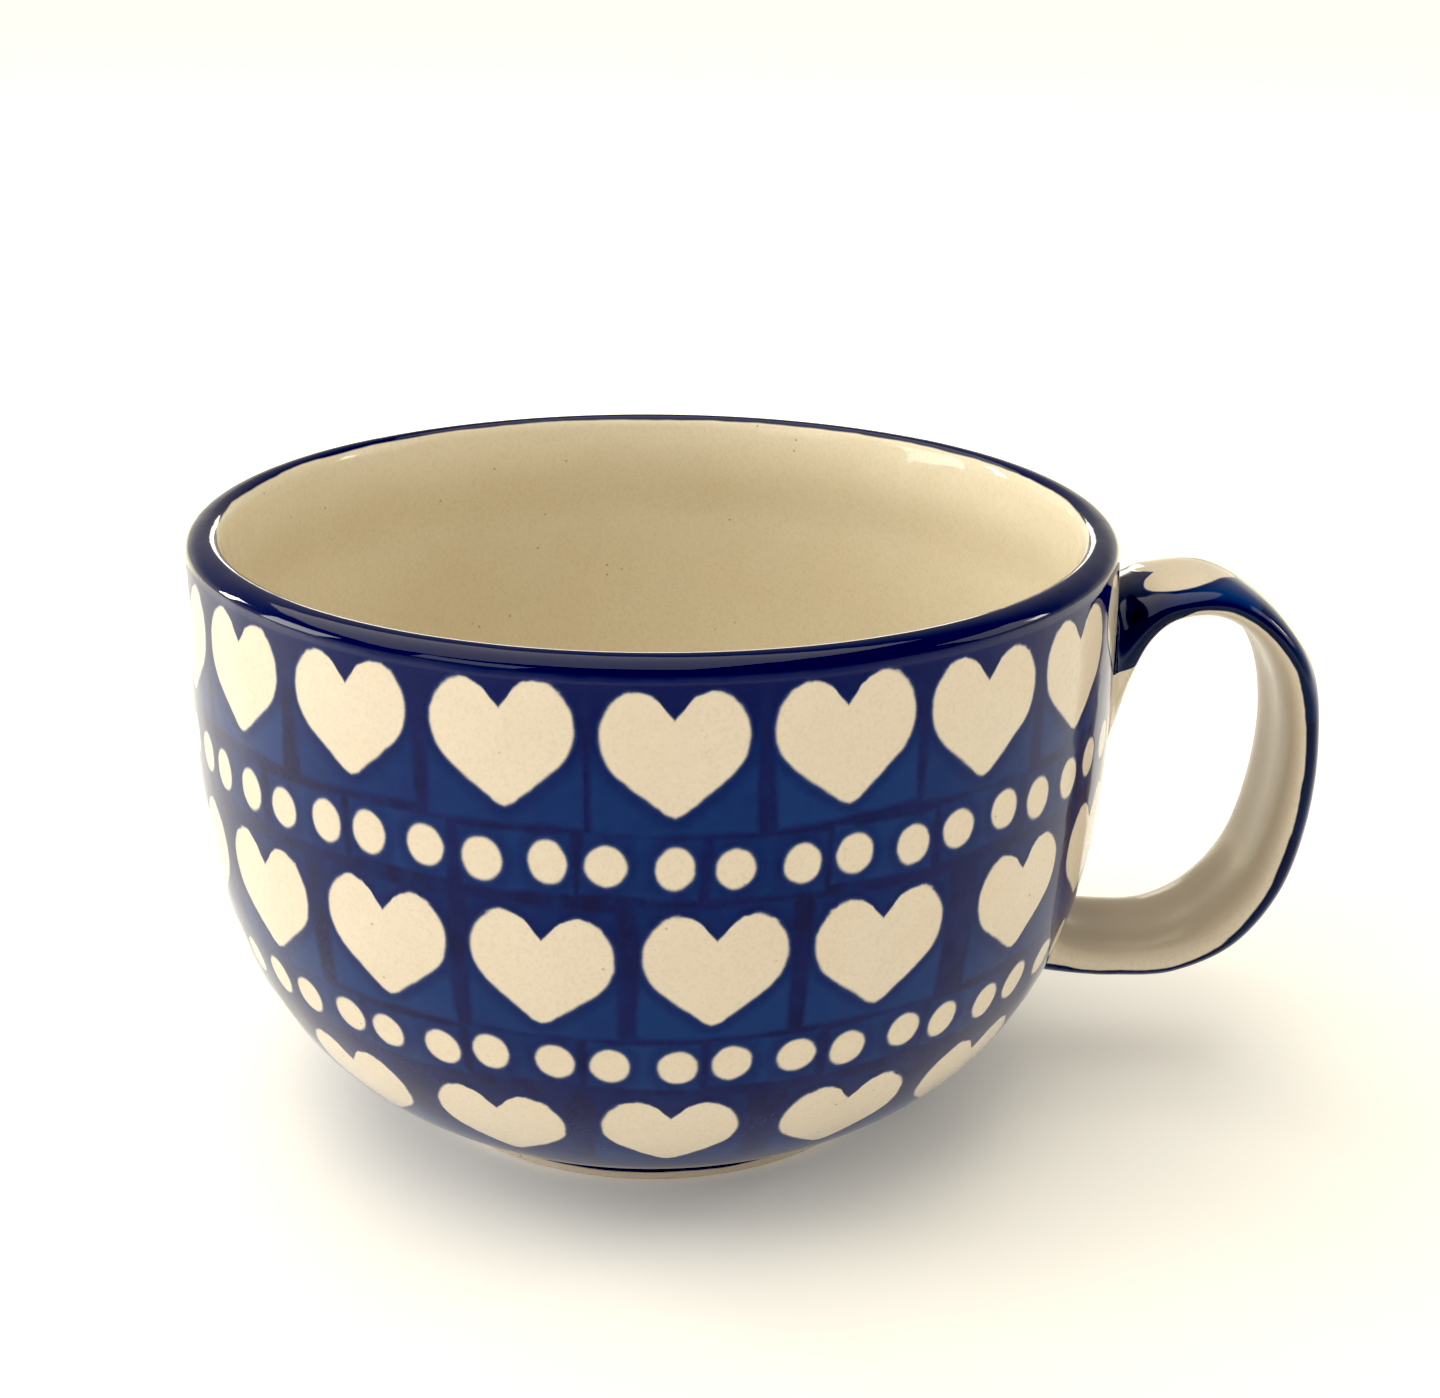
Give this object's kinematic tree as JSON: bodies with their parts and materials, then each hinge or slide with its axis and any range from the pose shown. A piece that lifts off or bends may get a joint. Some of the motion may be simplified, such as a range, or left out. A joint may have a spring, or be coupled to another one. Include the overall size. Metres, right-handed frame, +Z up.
{
  "type": "stoneware mug",
  "caption": "Wide, low stoneware mug with a rounded bottom, a turned foot ring and a flat strap handle, for holding a hot drink; cobalt glaze with stamped cream hearts and dots.",
  "frame": {"origin": "centre of the bounding box at the height of the table the foot ring stands on", "axes": "+X from the cup's axis towards the handle, +Z up along the cup's own axis"},
  "size_m": [0.143, 0.1148, 0.076],
  "materials": {
    "cobalt_glaze": "glossy clear glaze over cobalt decoration stamped and brushed on the body",
    "cream_glaze": "glossy clear glaze over cream stoneware",
    "bare_stoneware": "cream glaze on the side, dry fired stoneware on the ring it stands on"
  },
  "bodies": {
    "root": {"cup": "cobalt_glaze", "foot_ring": "bare_stoneware", "strap_handle": "cream_glaze", "upper_handle_root": "cobalt_glaze", "lower_handle_root": "cream_glaze"}
  },
  "joints": []
}
